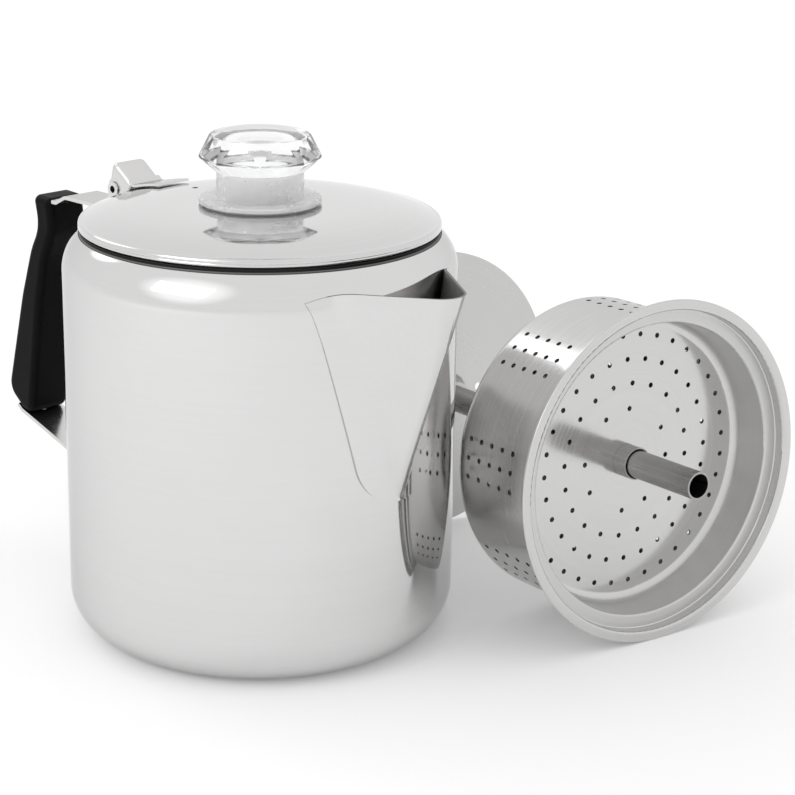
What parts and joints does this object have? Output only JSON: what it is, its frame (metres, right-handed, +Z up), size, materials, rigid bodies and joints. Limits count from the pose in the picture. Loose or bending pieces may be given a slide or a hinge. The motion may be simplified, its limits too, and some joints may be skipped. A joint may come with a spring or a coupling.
{
  "type": "coffee percolator",
  "caption": "Stove-top camping coffee percolator: steel pot with hinged lid, clear sight knob, spout and side grip, with its pump tube, perforated basket and spreader lying beside it.",
  "frame": {"origin": "centre of the pot's flat base, on the surface it stands on", "axes": "+Z up the pot's axis, +X towards the spout, -X towards the handle; the brewing set lies on its side at +Y"},
  "size_m": [0.2539, 0.2263, 0.1692],
  "materials": {
    "polished_steel": "mirror-polished stainless steel",
    "satin_steel": "pressed stainless strap, smooth satin",
    "black_grip": "moulded black phenolic, satin",
    "clear_knob": "clear faceted moulding",
    "grey_seal": "thin grey sealing ring",
    "tube_metal": "drawn tube, fine lengthwise grain",
    "basket_metal": "spun sheet, fine grain round the drum",
    "spreader_metal": "bright spun sheet"
  },
  "bodies": {
    "pot": {"pot_body": "polished_steel", "pour_spout": "polished_steel", "upper_strap": "satin_steel", "lower_strap": "satin_steel", "handle_grip": "black_grip", "grip_screw": "satin_steel", "hinge_bracket": "satin_steel", "hinge_pin": "satin_steel"},
    "lid": {"lid_cover": "polished_steel", "lid_skirt": "polished_steel", "hinge_leaf": "satin_steel", "knob_gasket": "grey_seal"},
    "knob": {"sight_knob": "clear_knob"},
    "stem": {"pump_tube": "tube_metal", "pump_foot": "satin_steel", "foot_ferrule": "satin_steel", "tube_collar": "satin_steel"},
    "basket": {"basket_cup": "basket_metal", "basket_sleeve": "basket_metal"},
    "spreader": {"spreader_plate": "spreader_metal", "spreader_collar": "spreader_metal"}
  },
  "joints": [
    {"name": "lid_hinge", "type": "hinge", "parent": "pot", "child": "lid", "pos_m": [-0.068, 0, 0.14], "axis": [0, -1, 0], "range_deg": [0, 110]},
    {"name": "knob_turn", "type": "hinge", "parent": "lid", "child": "knob", "pos_m": [0, 0, 0.147], "axis": [0, 0, 1], "range_deg": [0, 90]},
    {"name": "stem_lift", "type": "slide", "parent": "pot", "child": "stem", "axis": [0, 0, 1], "range_m": [0, 0.2]},
    {"name": "basket_slide", "type": "slide", "parent": "stem", "child": "basket", "axis": [0.9825, -0.1814, 0.0423], "range_m": [0, 0.066]},
    {"name": "spreader_slide", "type": "slide", "parent": "basket", "child": "spreader", "axis": [0.9825, -0.1814, 0.0423], "range_m": [0, 0.04]}
  ]
}
